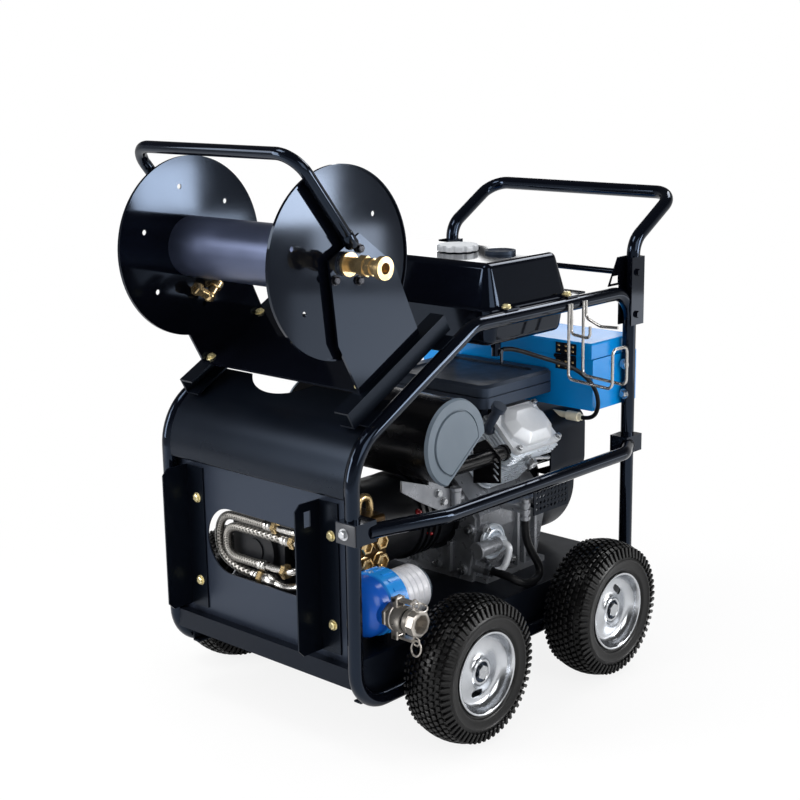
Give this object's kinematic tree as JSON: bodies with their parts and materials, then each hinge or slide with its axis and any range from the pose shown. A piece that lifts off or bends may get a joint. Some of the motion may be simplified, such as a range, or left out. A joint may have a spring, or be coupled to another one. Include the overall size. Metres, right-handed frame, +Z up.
{
  "type": "drain cleaning machine",
  "caption": "Wheeled petrol water jetter: tube frame on pneumatic tyres, V engine with plunger pump, open hose reel above the front hood, tool box and push handle.",
  "frame": {"origin": "on the floor, under the middle of the bounding box", "axes": "+Z up, +X to the side with the water inlet and wire rack, -Y towards the front panel and reel"},
  "size_m": [0.745, 1.14, 1.106],
  "materials": {
    "black_paint": "gloss",
    "grey_paint": "satin",
    "dark_steel": "heat-resistant matt",
    "blue_paint": "gloss",
    "zinc_steel": "zinc plated",
    "yellow_zinc": "yellow zinc plated",
    "stainless": "polished",
    "rim_silver": "silver paint",
    "cast_aluminium": "as cast",
    "dark_aluminium": "black coated",
    "brass": "turned",
    "braided_steel": "stainless braid over rubber",
    "black_rubber": "matt",
    "tyre_rubber": "matt",
    "black_plastic": "fine grain",
    "white_plastic": "moulded",
    "filter_blue": "moulded",
    "clear_plastic": "clear moulded"
  },
  "bodies": {
    "chassis": {"accessory_rack": "stainless", "air_cleaner": "black_plastic", "axles": "zinc_steel", "base_frame": "black_paint", "blower_housing": "black_plastic", "cam_coupler": "stainless", "chassis_bolts": "yellow_zinc", "drain_hose": "black_rubber", "engine_crankcase": "cast_aluminium", "engine_cylinders": "cast_aluminium", "engine_tray": "black_paint", "filter_bowl": "clear_plastic", "filter_head": "filter_blue", "front_hood": "black_paint", "front_panel": "black_paint", "fuel_filter": "white_plastic", "fuel_gauge": "black_plastic", "fuel_line": "black_rubber", "fuel_tank": "black_paint", "guard_rails": "black_paint", "handle_brackets": "black_paint", "hose_nuts": "brass", "hose_pipes": "stainless", "muffler": "dark_steel", "muffler_covers": "grey_paint", "oil_filler": "black_plastic", "oil_filter": "cast_aluminium", "panel_brackets": "black_paint", "perforated_guard": "black_paint", "pressure_hoses": "braided_steel", "pump_crankcase": "dark_aluminium", "pump_gearbox": "dark_aluminium", "pump_manifold": "brass", "push_handle": "black_paint", "reel_bearings": "zinc_steel", "reel_bracket": "black_paint", "reel_hoop": "black_paint", "reel_rails": "black_paint", "reel_swivel": "brass", "side_frames": "black_paint", "toolbox_body": "blue_paint", "toolbox_hinges": "black_paint", "valve_covers": "cast_aluminium"},
    "wheel_front_right": {"tyre_front_right": "tyre_rubber", "rim_front_right": "rim_silver"},
    "wheel_front_left": {"tyre_front_left": "tyre_rubber", "rim_front_left": "rim_silver"},
    "wheel_rear_right": {"tyre_rear_right": "tyre_rubber", "rim_rear_right": "rim_silver"},
    "wheel_rear_left": {"tyre_rear_left": "tyre_rubber", "rim_rear_left": "rim_silver"},
    "reel": {"reel_drum": "black_paint", "reel_flanges": "black_paint", "reel_elbow": "brass"},
    "box_lid": {"toolbox_lid": "blue_paint", "lid_leaves": "black_paint"},
    "filler_cap": {"fuel_cap": "cast_aluminium"},
    "top_lever": {"cam_lever_top": "stainless"},
    "bottom_lever": {"cam_lever_bottom": "stainless"},
    "fan_wheel": {"flywheel": "dark_aluminium"}
  },
  "joints": [
    {"name": "front_right_wheel_spin", "type": "hinge", "parent": "chassis", "child": "wheel_front_right", "pos_m": [0.3225, -0.214, 0.14], "axis": [1, 0, 0], "continuous": true},
    {"name": "front_left_wheel_spin", "type": "hinge", "parent": "chassis", "child": "wheel_front_left", "pos_m": [-0.3225, -0.214, 0.14], "axis": [1, 0, 0], "continuous": true},
    {"name": "rear_right_wheel_spin", "type": "hinge", "parent": "chassis", "child": "wheel_rear_right", "pos_m": [0.3225, 0.202, 0.14], "axis": [1, 0, 0], "continuous": true},
    {"name": "rear_left_wheel_spin", "type": "hinge", "parent": "chassis", "child": "wheel_rear_left", "pos_m": [-0.3225, 0.202, 0.14], "axis": [1, 0, 0], "continuous": true},
    {"name": "reel_spin", "type": "hinge", "parent": "chassis", "child": "reel", "pos_m": [0, -0.402, 0.904], "axis": [1, 0, 0], "continuous": true},
    {"name": "box_lid_hinge", "type": "hinge", "parent": "chassis", "child": "box_lid", "pos_m": [0, 0.2855, 0.628], "axis": [1, 0, 0], "range_deg": [0, 85]},
    {"name": "filler_cap_turn", "type": "hinge", "parent": "chassis", "child": "filler_cap", "pos_m": [0.03, 0.102, 0.87], "axis": [0, 0, 1], "range_deg": [0, 90]},
    {"name": "top_lever_hinge", "type": "hinge", "parent": "chassis", "child": "top_lever", "pos_m": [0.27, -0.349, 0.301], "axis": [0, -1, 0], "range_deg": [0, 90]},
    {"name": "bottom_lever_hinge", "type": "hinge", "parent": "chassis", "child": "bottom_lever", "pos_m": [0.27, -0.349, 0.231], "axis": [0, 1, 0], "range_deg": [0, 80]},
    {"name": "crank_spin", "type": "hinge", "parent": "chassis", "child": "fan_wheel", "pos_m": [0, 0.3, 0.336], "axis": [0, 1, 0], "continuous": true}
  ]
}
